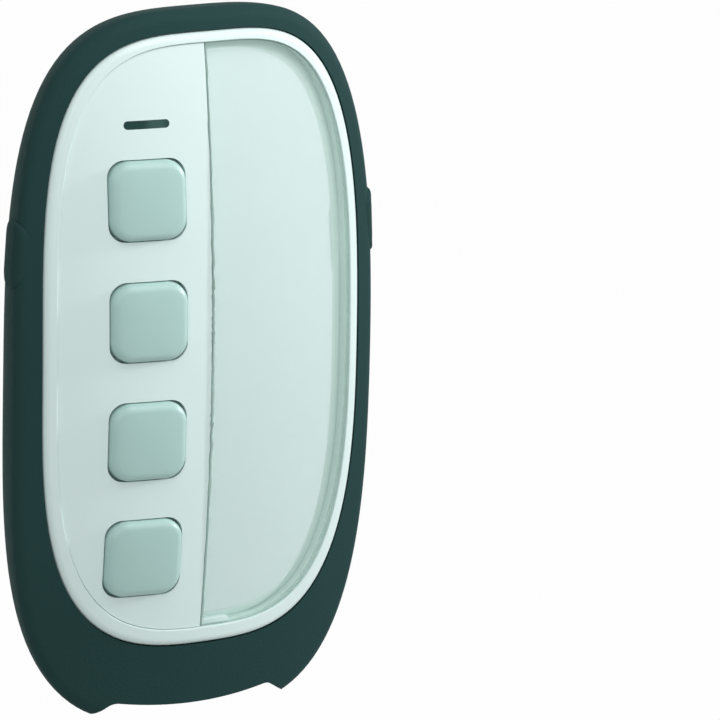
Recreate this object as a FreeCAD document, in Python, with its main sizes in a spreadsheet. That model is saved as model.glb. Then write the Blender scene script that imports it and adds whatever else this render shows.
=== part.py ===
import FreeCAD, Part
import math
import os
import Sketcher

# Wireless remote wall switch: a domed white inlay with four keys and a labelled
# clear cover, set in a dark oval casing that hangs on two wall screws.
# Frame: +Z up, the front faces -Y, the origin is the centre of the flat back.
# A depth is a distance behind the crown of the dome, so Y is depth less body_depth.

doc = FreeCAD.newDocument("wall_remote")
sheet = doc.addObject("Spreadsheet::Sheet", "Sizes")

# Driving dimensions in millimetres and degrees
DRIVING = (
    ("body_half_width", 31.2),
    ("body_top", 56.1),
    ("body_bottom", 56.1),
    ("body_widest", -2.0),
    ("body_power", 3.35),
    ("body_depth", 19.0),
    ("widest_depth", 7.3),
    ("back_round", 9.2),
    ("back_round_angle", 75.0),
    ("front_round", 2.2),
    ("casing_wall", 1.8),
    ("parting_depth", 14.8),
    ("dome_width_radius", 79.8),
    ("dome_length_radius", 330.0),
    ("dome_apex", -2.3),
    ("rim_half_width", 27.55),
    ("rim_top", 52.8),
    ("rim_bottom", 43.1),
    ("rim_widest", 2.6),
    ("rim_power_top", 3.4),
    ("rim_power_bottom", 3.17),
    ("rim_side", 2.0),
    ("rim_upper", 1.6),
    ("rim_lower", 2.7),
    ("rim_proud", 0.35),
    ("rim_round", 1.1),
    ("seam", 0.1),
    ("overrun", 1.0),
    ("ledge_depth", 10.0),
    ("ledge_thickness", 1.2),
    ("ledge_width", 4.2),
    ("divider_x", -1.0),
    ("divider_gap", 0.4),
    ("spine_width", 3.0),
    ("panel_thickness", 1.6),
    ("panel_seat", 1.1),
    ("panel_fit", 0.2),
    ("collar_wall", 0.8),
    ("collar_depth", 1.2),
    ("cover_fit", 0.15),
    ("cover_thickness", 1.2),
    ("cover_lip_depth", 2.6),
    ("cover_lip_width", 1.0),
    ("groove_width", 2.6),
    ("groove_upper", 1.7),
    ("groove_lower", 1.8),
    ("groove_depth", 2.9),
    ("tray_thickness", 1.3),
    ("card_thickness", 0.25),
    ("notch_z", 18.4),
    ("notch_height", 8.4),
    ("notch_reach", 0.8),
    ("key_column", -11.5),
    ("key_first", 28.0),
    ("key_pitch", 18.65),
    ("key_size", 12.2),
    ("key_gap", 0.2),
    ("key_corner", 3.3),
    ("key_opening_corner", 2.7),
    ("key_proud", 1.2),
    ("key_round", 1.0),
    ("key_wall", 1.4),
    ("key_flange", 0.8),
    ("key_flange_thickness", 0.8),
    ("key_play", 0.1),
    ("key_travel", 0.6),
    ("key_stem_radius", 1.9),
    ("lamp_x", -11.25),
    ("lamp_z", 39.45),
    ("lamp_length", 7.3),
    ("lamp_height", 1.3),
    ("lamp_fit", 0.08),
    ("lamp_led_height", 0.9),
    ("lamp_led_gap", 0.3),
    ("board_thickness", 1.2),
    ("board_edge", 3.4),
    ("board_lower", 7.0),
    ("switch_side", 6.0),
    ("switch_height", 3.6),
    ("switch_button_radius", 1.75),
    ("switch_button_proud", 1.4),
    ("switch_button_fit", 0.05),
    ("switch_well", 2.2),
    ("boss_x", 22.3),
    ("boss_z", 33.0),
    ("boss_radius", 2.6),
    ("screw_radius", 1.1),
    ("screw_fit", 0.15),
    ("thread_fit", 0.02),
    ("screw_head_radius", 2.1),
    ("screw_head_height", 1.3),
    ("screw_seat_depth", 16.2),
    ("screw_reach", 3.4),
    ("cell_radius", 12.25),
    ("cell_thickness", 3.0),
    ("cell_z", -6.0),
    ("cell_fit", 0.35),
    ("holder_base", 0.8),
    ("holder_wall", 1.2),
    ("holder_rise", 3.0),
    ("contact_thickness", 0.3),
    ("hatch_width", 30.0),
    ("hatch_height", 34.0),
    ("hatch_corner", 3.0),
    ("hatch_thickness", 1.5),
    ("hatch_lap", 1.2),
    ("hatch_fit", 0.15),
    ("prop_x", 19.8),
    ("prop_radius", 1.2),
    ("keyhole_spacing", 72.0),
    ("keyhole_radius", 3.8),
    ("keyhole_slot_radius", 2.1),
    ("keyhole_rise", 6.0),
    ("keyhole_pocket", 2.2),
    ("keyhole_wall", 1.0),
    ("foot_notch_half", 13.6),
    ("foot_notch_rise", 3.1),
    ("foot_notch_bow", 1.25),
    ("foot_notch_flare", 11.5),
    ("foot_notch_x", -0.9),
    ("grip_z", 20.0),
    ("grip_height", 10.2),
    ("grip_depth", 9.6),
    ("grip_width", 6.2),
    ("grip_corner", 2.4),
    ("grip_proud", 0.45),
    ("grip_sink", 1.4),
)
for row, (alias, value) in enumerate(DRIVING, start=1):
    sheet.set("A%d" % row, alias)
    sheet.set("B%d" % row, str(value))
    sheet.setAlias("B%d" % row, alias)
doc.recompute()


def size(alias):
    """Value of a driving dimension."""
    return float(getattr(sheet, alias))


def bound(text):
    """Expression text with each driving dimension named on the sheet."""
    words = []
    for word in text.replace("(", " ( ").replace(")", " ) ").split():
        words.append("Sizes." + word if word.replace("_", "a").isalpha() else word)
    return " ".join(words)


# General shapes

def box(name, x_from, x_to, front, back, z_from, z_to):
    """Block between two expressions along each axis; front and back are depths."""
    made = doc.addObject("Part::Box", name)
    made.setExpression("Length", bound("(%s) - (%s)" % (x_to, x_from)))
    made.setExpression("Width", bound("(%s) - (%s)" % (back, front)))
    made.setExpression("Height", bound("(%s) - (%s)" % (z_to, z_from)))
    made.setExpression("Placement.Base.x", bound(x_from))
    made.setExpression("Placement.Base.y", bound("(%s) - body_depth" % front))
    made.setExpression("Placement.Base.z", bound(z_from))
    return made


def rod(name, x, z, radius, front, back):
    """Round bar along Y between two depths."""
    made = doc.addObject("Part::Cylinder", name)
    made.Placement.Rotation = FreeCAD.Rotation(FreeCAD.Vector(1, 0, 0), -90)
    made.setExpression("Radius", bound(radius))
    made.setExpression("Height", bound("(%s) - (%s)" % (back, front)))
    made.setExpression("Placement.Base.x", bound(x))
    made.setExpression("Placement.Base.y", bound("(%s) - body_depth" % front))
    made.setExpression("Placement.Base.z", bound(z))
    return made


def cut(name, base, *tools):
    """Base less each tool in turn."""
    left = base
    for number, tool in enumerate(tools):
        last = number == len(tools) - 1
        made = doc.addObject("Part::Cut", name if last else "%s_less_%d" % (name, number))
        made.Base = left
        made.Tool = tool
        made.Refine = False
        left = made
    return left


def common(name, first, second):
    """What two shapes share."""
    made = doc.addObject("Part::Common", name)
    made.Base = first
    made.Tool = second
    made.Refine = False
    return made


def fuse(name, *parts):
    """Several shapes joined into one."""
    made = doc.addObject("Part::MultiFuse", name)
    made.Shapes = list(parts)
    made.Refine = False
    return made


def profile(name, x, z, back, edges):
    """Sketch facing the front, its own zero at x and z, on the plane of a depth."""
    made = doc.addObject("Sketcher::SketchObject", name)
    made.Placement.Rotation = FreeCAD.Rotation(FreeCAD.Vector(1, 0, 0), 90)
    made.addGeometry(edges, False)
    made.setExpression("Placement.Base.x", bound(x))
    made.setExpression("Placement.Base.y", bound("(%s) - body_depth" % back))
    made.setExpression("Placement.Base.z", bound(z))
    return made


def prism(name, outline, front, back):
    """A front-facing sketch drawn forward from its own plane."""
    made = doc.addObject("Part::Extrusion", name)
    made.Base = outline
    made.DirMode = "Custom"
    made.Dir = FreeCAD.Vector(0, -1, 0)
    made.Solid = True
    made.setExpression("LengthFwd", bound("(%s) - (%s)" % (back, front)))
    return made


def rounded_edges(half_x, half_z, corner):
    """Four lines and four quarter arcs about the sketch's zero."""
    flat = FreeCAD.Vector(0, 0, 1)
    edges = []
    for turn in range(4):
        angle = math.pi / 2 * turn
        across, along = (half_x, half_z) if turn % 2 == 0 else (half_z, half_x)
        spin = FreeCAD.Rotation(flat, math.degrees(angle))
        low = spin.multVec(FreeCAD.Vector(across, -along + corner, 0))
        high = spin.multVec(FreeCAD.Vector(across, along - corner, 0))
        middle = spin.multVec(FreeCAD.Vector(across - corner, along - corner, 0))
        edges.append(Part.LineSegment(low, high))
        ring = Part.Circle(middle, flat, corner)
        edges.append(Part.ArcOfCircle(ring, angle, angle + math.pi / 2))
    return edges


def rounded_prism(name, x, z, half_x, half_z, corner, front, back):
    """Block with four round upright corners."""
    edges = rounded_edges(half_x, half_z, corner)
    return prism(name, profile(name + "_outline", x, z, back, edges), front, back)


# Ovals: each is a squared oval, blunter than an ellipse

OVAL_STEPS = 28


class Oval:
    """A squared oval in front view, wider than it is an ellipse."""

    def __init__(self, half_width, top, bottom, widest, power_top, power_bottom):
        self.half_width = half_width
        self.top = top
        self.bottom = bottom
        self.widest = widest
        self.power_top = power_top
        self.power_bottom = power_bottom

    def inset(self, side, upper=None, lower=None):
        """The same oval drawn in at its sides, top and bottom."""
        upper = side if upper is None else upper
        lower = side if lower is None else lower
        return Oval(self.half_width - side, self.top - upper, self.bottom - lower,
                    self.widest, self.power_top, self.power_bottom)

    def point(self, step):
        """X and Z of one of the evenly turned points."""
        angle = 2 * math.pi * step / OVAL_STEPS
        across, up = math.cos(angle), math.sin(angle)
        power = self.power_top if up >= 0 else self.power_bottom
        reach = (abs(across) ** power + abs(up) ** power) ** (-1 / power)
        tall = self.top - self.widest if up >= 0 else self.bottom + self.widest
        return self.half_width * reach * across, self.widest + tall * reach * up

    def points(self):
        return [self.point(step) for step in range(OVAL_STEPS)]


def closed_curve(points):
    """Smooth closed curve through evenly numbered points."""
    curve = Part.BSplineCurve()
    knots = [float(step) for step in range(len(points) + 1)]
    curve.interpolate(Points=points, PeriodicFlag=True, Parameters=knots)
    return curve


def oval_prism(name, oval, front, back):
    """An oval drawn straight between two depths."""
    points = [FreeCAD.Vector(x, z, 0) for x, z in oval.points()]
    outline = profile(name + "_outline", "0", "0", back, [closed_curve(points)])
    return prism(name, outline, front, back)


body_oval = Oval(size("body_half_width"), size("body_top"), size("body_bottom"), size("body_widest"),
                 size("body_power"), size("body_power"))
rim_oval = Oval(size("rim_half_width"), size("rim_top"), size("rim_bottom"), size("rim_widest"),
                size("rim_power_top"), size("rim_power_bottom"))
inlay_oval = rim_oval.inset(size("rim_side"), size("rim_upper"), size("rim_lower"))


# The dome: one turned block whose front is the face of the inlay

DOME_SPAN = 36.0
DOME_TURN = 24.0
DOME_BACK = 6.0


def dome(name, sink):
    """Everything behind the dome's surface, set back by sink."""
    crown = -size("body_depth")
    bend = size("dome_width_radius") - sink
    centre = FreeCAD.Vector(0, crown + size("dome_width_radius"), 0)
    half_angle = math.asin(DOME_SPAN / bend)
    down = -math.pi / 2
    arc = Part.ArcOfCircle(Part.Circle(centre, FreeCAD.Vector(0, 0, 1), bend),
                           down - half_angle, down + half_angle)
    left = arc.StartPoint
    right = arc.EndPoint
    left_back = FreeCAD.Vector(left.x, DOME_BACK, 0)
    right_back = FreeCAD.Vector(right.x, DOME_BACK, 0)
    outline = doc.addObject("Sketcher::SketchObject", name + "_outline")
    outline.addGeometry([arc, Part.LineSegment(right, right_back),
                         Part.LineSegment(right_back, left_back), Part.LineSegment(left_back, left)], False)
    outline.setExpression("Placement.Base.z", bound("dome_apex"))
    made = doc.addObject("Part::Revolution", name)
    made.Source = outline
    made.Axis = FreeCAD.Vector(1, 0, 0)
    made.setExpression("Base.y", bound("dome_length_radius - body_depth"))
    made.setExpression("Base.z", bound("dome_apex"))
    made.Angle = DOME_TURN
    made.Symmetric = True
    made.Solid = True
    return made


# Casing form: sections of the flank that draw in towards the flat back, faced by the dome

FLANK_STEPS = 4
FLANK_FRONT = -1.0


def flank_section(depth, inset):
    """One closed section of the casing at a depth."""
    y = depth - size("body_depth")
    points = [FreeCAD.Vector(x, y, z) for x, z in body_oval.inset(inset).points()]
    return Part.Wire(closed_curve(points).toShape())


def flank_form(name, grow, front, back):
    """Solid inside the flank between two depths, grown or shrunk all round."""
    widest = size("widest_depth")
    run = size("body_depth") + grow - widest
    last = math.radians(size("back_round_angle"))
    wires = []
    if front < widest:
        wires.extend(flank_section(depth, -grow) for depth in (front, (front + widest) / 2))
    first_turn = math.asin(max(front - widest, 0) / run * math.sin(last))
    last_turn = math.asin((back - widest) / run * math.sin(last))
    for step in range(FLANK_STEPS + 1):
        turn = first_turn + (last_turn - first_turn) * step / FLANK_STEPS
        depth = widest + run * math.sin(turn) / math.sin(last)
        wires.append(flank_section(depth, size("back_round") * (1 - math.cos(turn)) - grow))
    made = doc.addObject("Part::Feature", name)
    made.Shape = Part.makeLoft(wires, True, False)
    return made


def front_edges(shape, reach, width):
    """Numbers of the long edges in front of a depth that span a width."""
    limit = reach - size("body_depth")
    return [number for number, edge in enumerate(shape.Edges, start=1)
            if edge.BoundBox.YMax < limit and edge.Length > size("key_size") / 4
            and edge.BoundBox.XLength >= width]


def round_front(name, base, reach, radius, width=0):
    """Front edges of a shape rounded over."""
    doc.recompute()
    made = doc.addObject("Part::Fillet", name)
    made.Base = base
    made.Edges = [(number, size(radius), size(radius)) for number in front_edges(base.Shape, reach, width)]
    return made


WIDE = "2 * body_top"
AHEAD = "0 - body_depth"
BEHIND = "2 * body_depth"
LEDGE_BACK = "ledge_depth + ledge_thickness"
REAR_WALL = "body_depth - casing_wall"
OUTSIDE = "body_depth + overrun"


def slab(name, front, back):
    """Block as wide as any piece between two depths."""
    return box(name, "0 - " + WIDE, WIDE, front, back, "0 - " + WIDE, WIDE)


def right_of(name, x):
    """Block that keeps what lies right of a line in front view."""
    return box(name, x, WIDE, AHEAD, BEHIND, "0 - " + WIDE, WIDE)


def left_of(name, x):
    """Block that keeps what lies left of a line in front view."""
    return box(name, "0 - " + WIDE, x, AHEAD, BEHIND, "0 - " + WIDE, WIDE)


full_depth = size("body_depth")
parting = size("parting_depth")
wall = size("casing_wall")
ledge_rear = size("ledge_depth") + size("ledge_thickness")
frame_flank = flank_form("frame_flank", 0, FLANK_FRONT, parting)
frame_sharp = common("frame_sharp", frame_flank, dome("face_dome", 0))
frame_cavity = flank_form("frame_cavity", -wall, ledge_rear, parting + wall)
rear_form = flank_form("rear_form", 0, parting, full_depth)
rear_cavity = flank_form("rear_cavity", -wall, parting - wall, full_depth - wall)


# Slot cut out of the foot of the casing, a low arc between two sloping ends

def foot_notch(name, grow, front):
    """Cutter for the foot notch, from a depth to behind the back."""
    half = size("foot_notch_half") + grow
    low = -size("body_bottom") - size("foot_notch_rise")
    rise = -size("body_bottom") + size("foot_notch_rise") + grow
    wide = half + size("foot_notch_flare")
    start = FreeCAD.Vector(-half, rise + size("foot_notch_bow"), 0)
    end = FreeCAD.Vector(half, rise + size("foot_notch_bow"), 0)
    left = FreeCAD.Vector(-wide, low, 0)
    right = FreeCAD.Vector(wide, low, 0)
    edges = [Part.Arc(start, FreeCAD.Vector(0, rise, 0), end), Part.LineSegment(end, right),
             Part.LineSegment(right, left), Part.LineSegment(left, start)]
    return prism(name, profile(name + "_outline", "foot_notch_x", "0", OUTSIDE, edges), front, OUTSIDE)


frame_hollow = cut("frame_hollow", frame_cavity, foot_notch("frame_notch_backing", wall, AHEAD))
rear_hollow = cut("rear_hollow", rear_cavity, foot_notch("rear_notch_backing", wall, AHEAD))


# The four case screw places

def each_boss():
    """Name and place of each case screw."""
    for side, across in (("left", "-1 * boss_x"), ("right", "boss_x")):
        for end, along in (("low", "-1 * boss_z"), ("high", "boss_z")):
            yield side + "_" + end, across, along


# Side grips: a rounded pad let into each flank

def grip_block(name, side, fit, sink):
    """Rounded block through one flank."""
    sketch = doc.addObject("Sketcher::SketchObject", name + "_outline")
    facing = FreeCAD.Rotation(FreeCAD.Vector(0, 1, 0), FreeCAD.Vector(0, 0, 1), FreeCAD.Vector(1, 0, 0), "ZXY")
    sketch.Placement.Rotation = facing
    half_depth = size("grip_width") / 2 + fit
    half_height = size("grip_height") / 2 + fit
    sketch.addGeometry(rounded_edges(half_depth, half_height, size("grip_corner") + fit), False)
    sketch.setExpression("Placement.Base.x", bound("%d * ( body_half_width - %s )" % (side, sink)))
    sketch.setExpression("Placement.Base.y", bound("grip_depth - body_depth"))
    sketch.setExpression("Placement.Base.z", bound("grip_z"))
    made = doc.addObject("Part::Extrusion", name)
    made.Base = sketch
    made.DirMode = "Custom"
    made.Dir = FreeCAD.Vector(side, 0, 0)
    made.Solid = True
    made.setExpression("LengthFwd", bound("%s + 4 * grip_proud" % sink))
    return made


grip_form = flank_form("grip_flank", size("grip_proud"), FLANK_FRONT, parting)
side_grips = []
grip_pockets = []
for side_name, side in (("left", -1), ("right", 1)):
    pad = grip_block("grip_block_" + side_name, side, 0, "grip_sink")
    side_grips.append(common("side_grip_" + side_name, grip_form, pad))
    grip_pockets.append(grip_block("grip_pocket_" + side_name, side, size("seam"), "( grip_sink + seam )"))


# Front frame: the deep dark oval moulding that carries the rest

opening = oval_prism("inlay_opening", rim_oval.inset(-size("seam")), AHEAD, "ledge_depth")
ledge_window = oval_prism("ledge_window", rim_oval.inset(size("ledge_width")), AHEAD, BEHIND)
chin_floor = "widest_depth - casing_wall"
chin_outer = oval_prism("chin_outer", body_oval.inset(size("foot_notch_rise") + size("casing_wall") + 0.3),
                        chin_floor, BEHIND)
chin_inner = oval_prism("chin_inner", rim_oval.inset(-size("casing_wall")), AHEAD, BEHIND)
chin_band = box("chin_band", "0 - " + WIDE, WIDE, "0", LEDGE_BACK + " + seam", "0 - body_bottom", "8 - rim_bottom")
chin_pocket = common("chin_pocket", cut("chin_crescent", chin_outer, chin_inner), chin_band)
frame_bosses = []
frame_pilots = []
for place, across, along in each_boss():
    frame_bosses.append(rod("boss_" + place, across, along, "boss_radius", "ledge_depth", "parting_depth"))
    frame_pilots.append(rod("pilot_" + place, across, along, "screw_radius + thread_fit",
                            "screw_seat_depth - screw_reach - screw_fit", BEHIND))
frame_open = cut("frame_open", frame_sharp, frame_hollow, chin_pocket, opening, ledge_window)
frame_bossed = fuse("frame_bossed", frame_open, *frame_bosses)
frame_rounded = round_front("frame_rounded", frame_bossed, size("ledge_depth"), "front_round",
                            2 * size("rim_half_width") + size("casing_wall"))
front_frame = cut("front_frame", frame_rounded, foot_notch("foot_notch", 0, AHEAD), *(grip_pockets + frame_pilots))


# Rear shell: the shallow dish with screw wells, keyholes and the battery hatch opening

def slot_edges(radius, rise):
    """Upright slot with round ends, its lower centre at the sketch's zero."""
    flat = FreeCAD.Vector(0, 0, 1)
    top = FreeCAD.Vector(0, rise, 0)
    across = FreeCAD.Vector(radius, 0, 0)
    return [Part.ArcOfCircle(Part.Circle(top, flat, radius), 0, math.pi),
            Part.LineSegment(top - across, across * -1),
            Part.ArcOfCircle(Part.Circle(across * 0, flat, radius), math.pi, 2 * math.pi),
            Part.LineSegment(across, across + top)]


def slot_prism(name, z, radius, front, back):
    """Keyhole slot drawn between two depths."""
    edges = slot_edges(radius, size("keyhole_rise"))
    return prism(name, profile(name + "_outline", "0", z, back, edges), front, back)


rear_posts = []
rear_cuts = []
for place, across, along in each_boss():
    rear_posts.append(rod("post_" + place, across, along, "boss_radius", "parting_depth", REAR_WALL + " + seam"))
    rear_cuts.append(rod("well_" + place, across, along, "screw_head_radius + screw_fit", "screw_seat_depth", OUTSIDE))
    rear_cuts.append(rod("hole_" + place, across, along, "screw_radius + screw_fit", "0", OUTSIDE))
room_front = "body_depth - casing_wall - keyhole_pocket"
for end, sign in (("low", "-1 * "), ("high", "1 * ")):
    centre = sign + "keyhole_spacing / 2"
    head = size("keyhole_radius")
    rear_posts.append(slot_prism("keyhole_block_" + end, centre, head + size("keyhole_wall"),
                                 room_front + " - keyhole_wall", REAR_WALL + " + seam"))
    rear_cuts.append(slot_prism("keyhole_room_" + end, centre, head, room_front, REAR_WALL))
    rear_cuts.append(slot_prism("keyhole_neck_" + end, centre, size("keyhole_slot_radius"), room_front, OUTSIDE))
    rear_cuts.append(rod("keyhole_mouth_" + end, "0", centre, "keyhole_radius", room_front, OUTSIDE))

hatch_x = size("hatch_width") / 2
hatch_z = size("hatch_height") / 2
lap = size("hatch_lap")
hatch_fit = size("hatch_fit")
hatch_round = size("hatch_corner")
HATCH_FLOOR = "body_depth - hatch_thickness"
hatch_recess = rounded_prism("hatch_recess", "0", "cell_z", hatch_x + hatch_fit, hatch_z + hatch_fit,
                             hatch_round + hatch_fit, HATCH_FLOOR, OUTSIDE)
hatch_well = rounded_prism("hatch_well", "0", "cell_z", hatch_x - lap, hatch_z - lap, hatch_round - lap / 2,
                           "0", OUTSIDE)
hatch_frame = rounded_prism("hatch_frame", "0", "cell_z", hatch_x + lap, hatch_z + lap, hatch_round + lap,
                            HATCH_FLOOR + " - hatch_lap", REAR_WALL + " + seam")
props = []
for number, (side, end) in enumerate(((-1, -1), (-1, 1), (1, -1), (1, 1)), start=1):
    props.append(rod("board_prop_%d" % number, "%d * prop_x" % side, "cell_z + %d * hatch_height / 2" % end,
                     "prop_radius", LEDGE_BACK + " + board_thickness", REAR_WALL + " + seam"))
rear_dish = cut("rear_dish", rear_form, rear_hollow)
rear_bossed = fuse("rear_bossed", rear_dish, hatch_frame, *(rear_posts + props))
rear_shell = cut("rear_shell", rear_bossed, foot_notch("foot_notch_rear", 0, AHEAD), hatch_recess, hatch_well,
                 *rear_cuts)


# Battery cover: a flush plate with a finger scoop, lifted out backwards

hatch_plate = rounded_prism("hatch_plate", "0", "cell_z", hatch_x, hatch_z, hatch_round, HATCH_FLOOR, "body_depth")
hatch_lug = rounded_prism("hatch_lug", "0", "cell_z", hatch_x - lap - hatch_fit, hatch_z - lap - hatch_fit,
                          hatch_round - lap / 2 - hatch_fit, HATCH_FLOOR + " - hatch_lap / 2", HATCH_FLOOR + " + seam")
hatch_dish = rounded_prism("hatch_dish", "0", "cell_z", hatch_x - 2 * lap, hatch_z - 2 * lap,
                           hatch_round - lap - hatch_fit, "0", HATCH_FLOOR)
finger_scoop = rounded_prism("finger_scoop", "0", "cell_z + hatch_height / 2 - 4", 5.0, 1.6, 1.5,
                             "body_depth - hatch_thickness / 2", OUTSIDE)
battery_cover = cut("battery_cover", fuse("hatch_solid", hatch_plate, hatch_lug), hatch_dish, finger_scoop)


# Bezel: the white ring with the label tray on the right and the panel seat on the left

panel_back = size("panel_thickness")
tray_back = panel_back + size("tray_thickness")
groove_back = size("groove_depth") + size("tray_thickness")
divider_left = "divider_x - divider_gap / 2"
divider_right = "divider_x + divider_gap / 2"


def finger_notch(name, grow):
    """Widening of the groove where a finger nail lifts the cover."""
    edges = rounded_edges(size("groove_width") + size("notch_reach") + grow, size("notch_height") / 2 + grow,
                          size("notch_reach"))
    outline = profile(name + "_outline", "rim_half_width - rim_side", "notch_z", BEHIND, edges)
    return prism(name, outline, AHEAD, BEHIND)


def face_prism(name, oval):
    """An oval drawn right through the part."""
    return oval_prism(name, oval, AHEAD, BEHIND)


rim_sharp = common("rim_sharp", oval_prism("rim_prism", rim_oval, AHEAD, "ledge_depth"),
                   dome("crown_dome", -size("rim_proud")))
rim_blank = round_front("rim_blank", rim_sharp, size("widest_depth"), "rim_round")
face_void = cut("face_void", face_prism("face_void_prism", inlay_oval), dome("seat_dome", panel_back))
label_oval = inlay_oval.inset(size("groove_width"), size("groove_upper"), size("groove_lower"))
label_field = cut("label_field", face_prism("label_prism", label_oval), finger_notch("tray_notch", 0))
groove_band = cut("groove_band", face_prism("groove_prism", inlay_oval), label_field,
                  dome("groove_dome", size("groove_depth")))
groove_void = common("groove_void", groove_band, right_of("groove_side", "divider_x"))
under_oval = label_oval.inset(size("tray_thickness"))
under_tray = common("under_tray", face_prism("under_tray_prism", under_oval), dome("under_tray_dome", tray_back))
seat_oval = inlay_oval.inset(size("panel_seat"))
under_groove = common("under_groove", face_prism("under_groove_prism", seat_oval),
                      dome("under_groove_dome", groove_back))
panel_window = common("panel_window", face_prism("panel_window_prism", seat_oval),
                      left_of("panel_window_side", "divider_x - spine_width / 2"))
bezel = cut("bezel", rim_blank, face_void, groove_void, under_tray, under_groove, panel_window)


# Key panel: the left half of the face, with four key openings and a lamp slot

def key_places():
    """Number and height of each key, from the top down."""
    for number in range(1, 5):
        yield number, "key_first - %d * key_pitch" % (number - 1)


def key_prism(name, z, grow, corner, front, back):
    """Rounded square in line with a key."""
    half = size("key_size") / 2 + grow
    return rounded_prism(name, "key_column", z, half, half, corner, front, back)


def lamp_prism(name, grow, front, back):
    """Long slot with round ends in line with the lamp."""
    half_height = size("lamp_height") / 2 + grow
    return rounded_prism(name, "lamp_x", "lamp_z", size("lamp_length") / 2 + grow, half_height,
                         half_height * 0.98, front, back)


collar_inner = size("key_flange") + size("key_gap")
panel_oval = inlay_oval.inset(size("seam"))
panel_half = common("panel_half", face_prism("panel_prism", panel_oval), left_of("panel_side", divider_left))
panel_faced = common("panel_faced", panel_half, dome("panel_face", 0))
panel_sheet = cut("panel_sheet", panel_faced, dome("panel_underside", panel_back))
collars = []
openings = []
for number, height in key_places():
    tag = "_%d" % number
    outer = key_prism("collar_outer" + tag, height, collar_inner + size("collar_wall"),
                      size("key_corner") + collar_inner, AHEAD, BEHIND)
    inner = key_prism("collar_inner" + tag, height, collar_inner, size("key_corner") + size("key_flange"),
                      AHEAD, BEHIND)
    collars.append(cut("collar_ring" + tag, outer, inner))
    openings.append(key_prism("key_opening" + tag, height, size("key_gap"), size("key_opening_corner"),
                              AHEAD, BEHIND))
collar_rings = fuse("collar_rings", *collars)
collar_limit = face_prism("collar_limit", seat_oval.inset(size("panel_fit")))
collar_deep = common("collar_deep", common("collar_kept", collar_rings, collar_limit),
                     dome("collar_front", panel_back - size("seam")))
collar_walls = cut("collar_walls", collar_deep, dome("collar_back", panel_back + size("collar_depth")))
openings.append(lamp_prism("lamp_slot", size("lamp_fit"), AHEAD, BEHIND))
key_panel = cut("key_panel", fuse("panel_with_collars", panel_sheet, collar_walls), *openings)


# Label card and its clear cover, the right half of the face

card_front = panel_back - size("card_thickness")
card_oval = label_oval.inset(size("cover_fit"))
card_half = common("card_half", face_prism("card_prism", card_oval),
                   right_of("card_side", "divider_x + spine_width / 4"))
card_faced = common("card_faced", card_half, dome("card_face", card_front))
label_card = cut("label_card", card_faced, dome("card_underside", panel_back),
                 finger_notch("card_notch", size("cover_fit")))
cover_oval = inlay_oval.inset(size("cover_fit"))
cover_half = common("cover_half", face_prism("cover_prism", cover_oval), right_of("cover_side", divider_right))
cover_faced = common("cover_faced", cover_half, dome("cover_face", 0))
cover_room = cut("cover_room", face_prism("cover_room_prism", cover_oval.inset(size("cover_lip_width"))),
                 slab("cover_room_front", AHEAD, "0"))
cover_under = common("cover_under", cover_room, dome("cover_underside", size("cover_thickness")))
label_cover = cut("label_cover", cover_faced, cover_under, dome("cover_lip_back", size("cover_lip_depth")))


# Keys: hollow caps with a retaining flange and a stem down to the switch button

cap_dome = dome("cap_dome", -size("key_proud"))
flange_front = panel_back + size("key_play")
flange_dome = dome("flange_dome", flange_front)
flange_back_dome = dome("flange_back_dome", flange_front + size("key_flange_thickness"))
roof_dome = dome("roof_dome", size("key_wall") - size("key_proud"))
stem_dome = dome("stem_dome", size("key_wall") / 2 - size("key_proud"))
BUTTON_TOP = LEDGE_BACK + " - switch_height - switch_button_proud"
key_caps = []
for number, height in key_places():
    tag = "_%d" % number
    cap = common("cap_sharp" + tag, key_prism("cap_prism" + tag, height, 0, size("key_corner"), AHEAD, BEHIND),
                 cap_dome)
    crown = round_front("cap_round" + tag, cap, size("widest_depth"), "key_round")
    flange = common("flange" + tag, key_prism("flange_prism" + tag, height, size("key_flange"),
                                              size("key_corner") + size("key_flange"), AHEAD, BEHIND), flange_dome)
    room = common("room" + tag, key_prism("room_prism" + tag, height, -size("key_wall"),
                                          size("key_corner") - size("key_wall"), AHEAD, BEHIND), roof_dome)
    shell = cut("cap_shell" + tag, fuse("cap_solid" + tag, crown, flange), room, flange_back_dome)
    stem = common("stem" + tag, rod("stem_rod" + tag, "key_column", height, "key_stem_radius", "0", BUTTON_TOP),
                  stem_dome)
    key_caps.append(fuse("key_cap" + tag, shell, stem))


# Lamp: smoked light guide from the slot to its diode on the board

LED_TOP = LEDGE_BACK + " - lamp_led_height"
lamp_blade = common("lamp_blade", lamp_prism("lamp_blade_prism", 0, AHEAD, LED_TOP + " - lamp_led_gap"),
                    dome("lamp_face", 0))
lamp_flange_blank = common("lamp_flange_blank", lamp_prism("lamp_flange_prism", size("collar_wall"), AHEAD, BEHIND),
                           dome("lamp_flange_front", panel_back))
lamp_flange = cut("lamp_flange", lamp_flange_blank, dome("lamp_flange_back", panel_back + size("collar_wall")))
indicator_lens = fuse("indicator_lens", lamp_blade, lamp_flange)
indicator_led = box("indicator_led", "lamp_x - 1.6", "lamp_x + 1.6", LED_TOP, LEDGE_BACK, "lamp_z - 0.8",
                    "lamp_z + 0.8")


# Circuit board with its switches, radio and cell holder

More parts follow.
